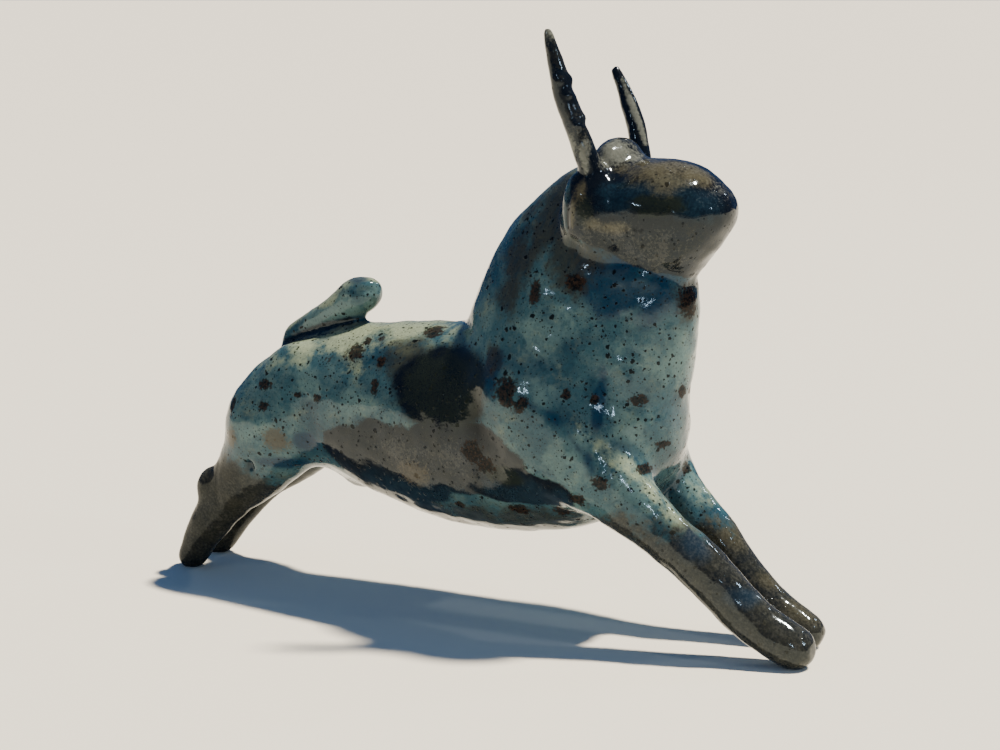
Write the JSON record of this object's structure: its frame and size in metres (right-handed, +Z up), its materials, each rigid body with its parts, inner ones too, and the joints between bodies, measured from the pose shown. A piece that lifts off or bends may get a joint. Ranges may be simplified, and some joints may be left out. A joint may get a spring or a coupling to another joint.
{
  "type": "ceramic bull sculpture",
  "caption": "Glazed ceramic bull figurine standing at full stretch, forelegs reaching forward and hind legs back, with upright horns and a curled tail.",
  "frame": {"origin": "centre of the bounding box at the level that the feet stand on", "axes": "+X forward from tail to muzzle, +Y to the bull's left, +Z up"},
  "size_m": [0.1748, 0.0454, 0.1323],
  "materials": {
    "glaze": "glossy reactive glaze, seafoam and blue over dark bronze, with dark flecks"
  },
  "bodies": {
    "root": {"bull": "glaze"}
  },
  "joints": []
}
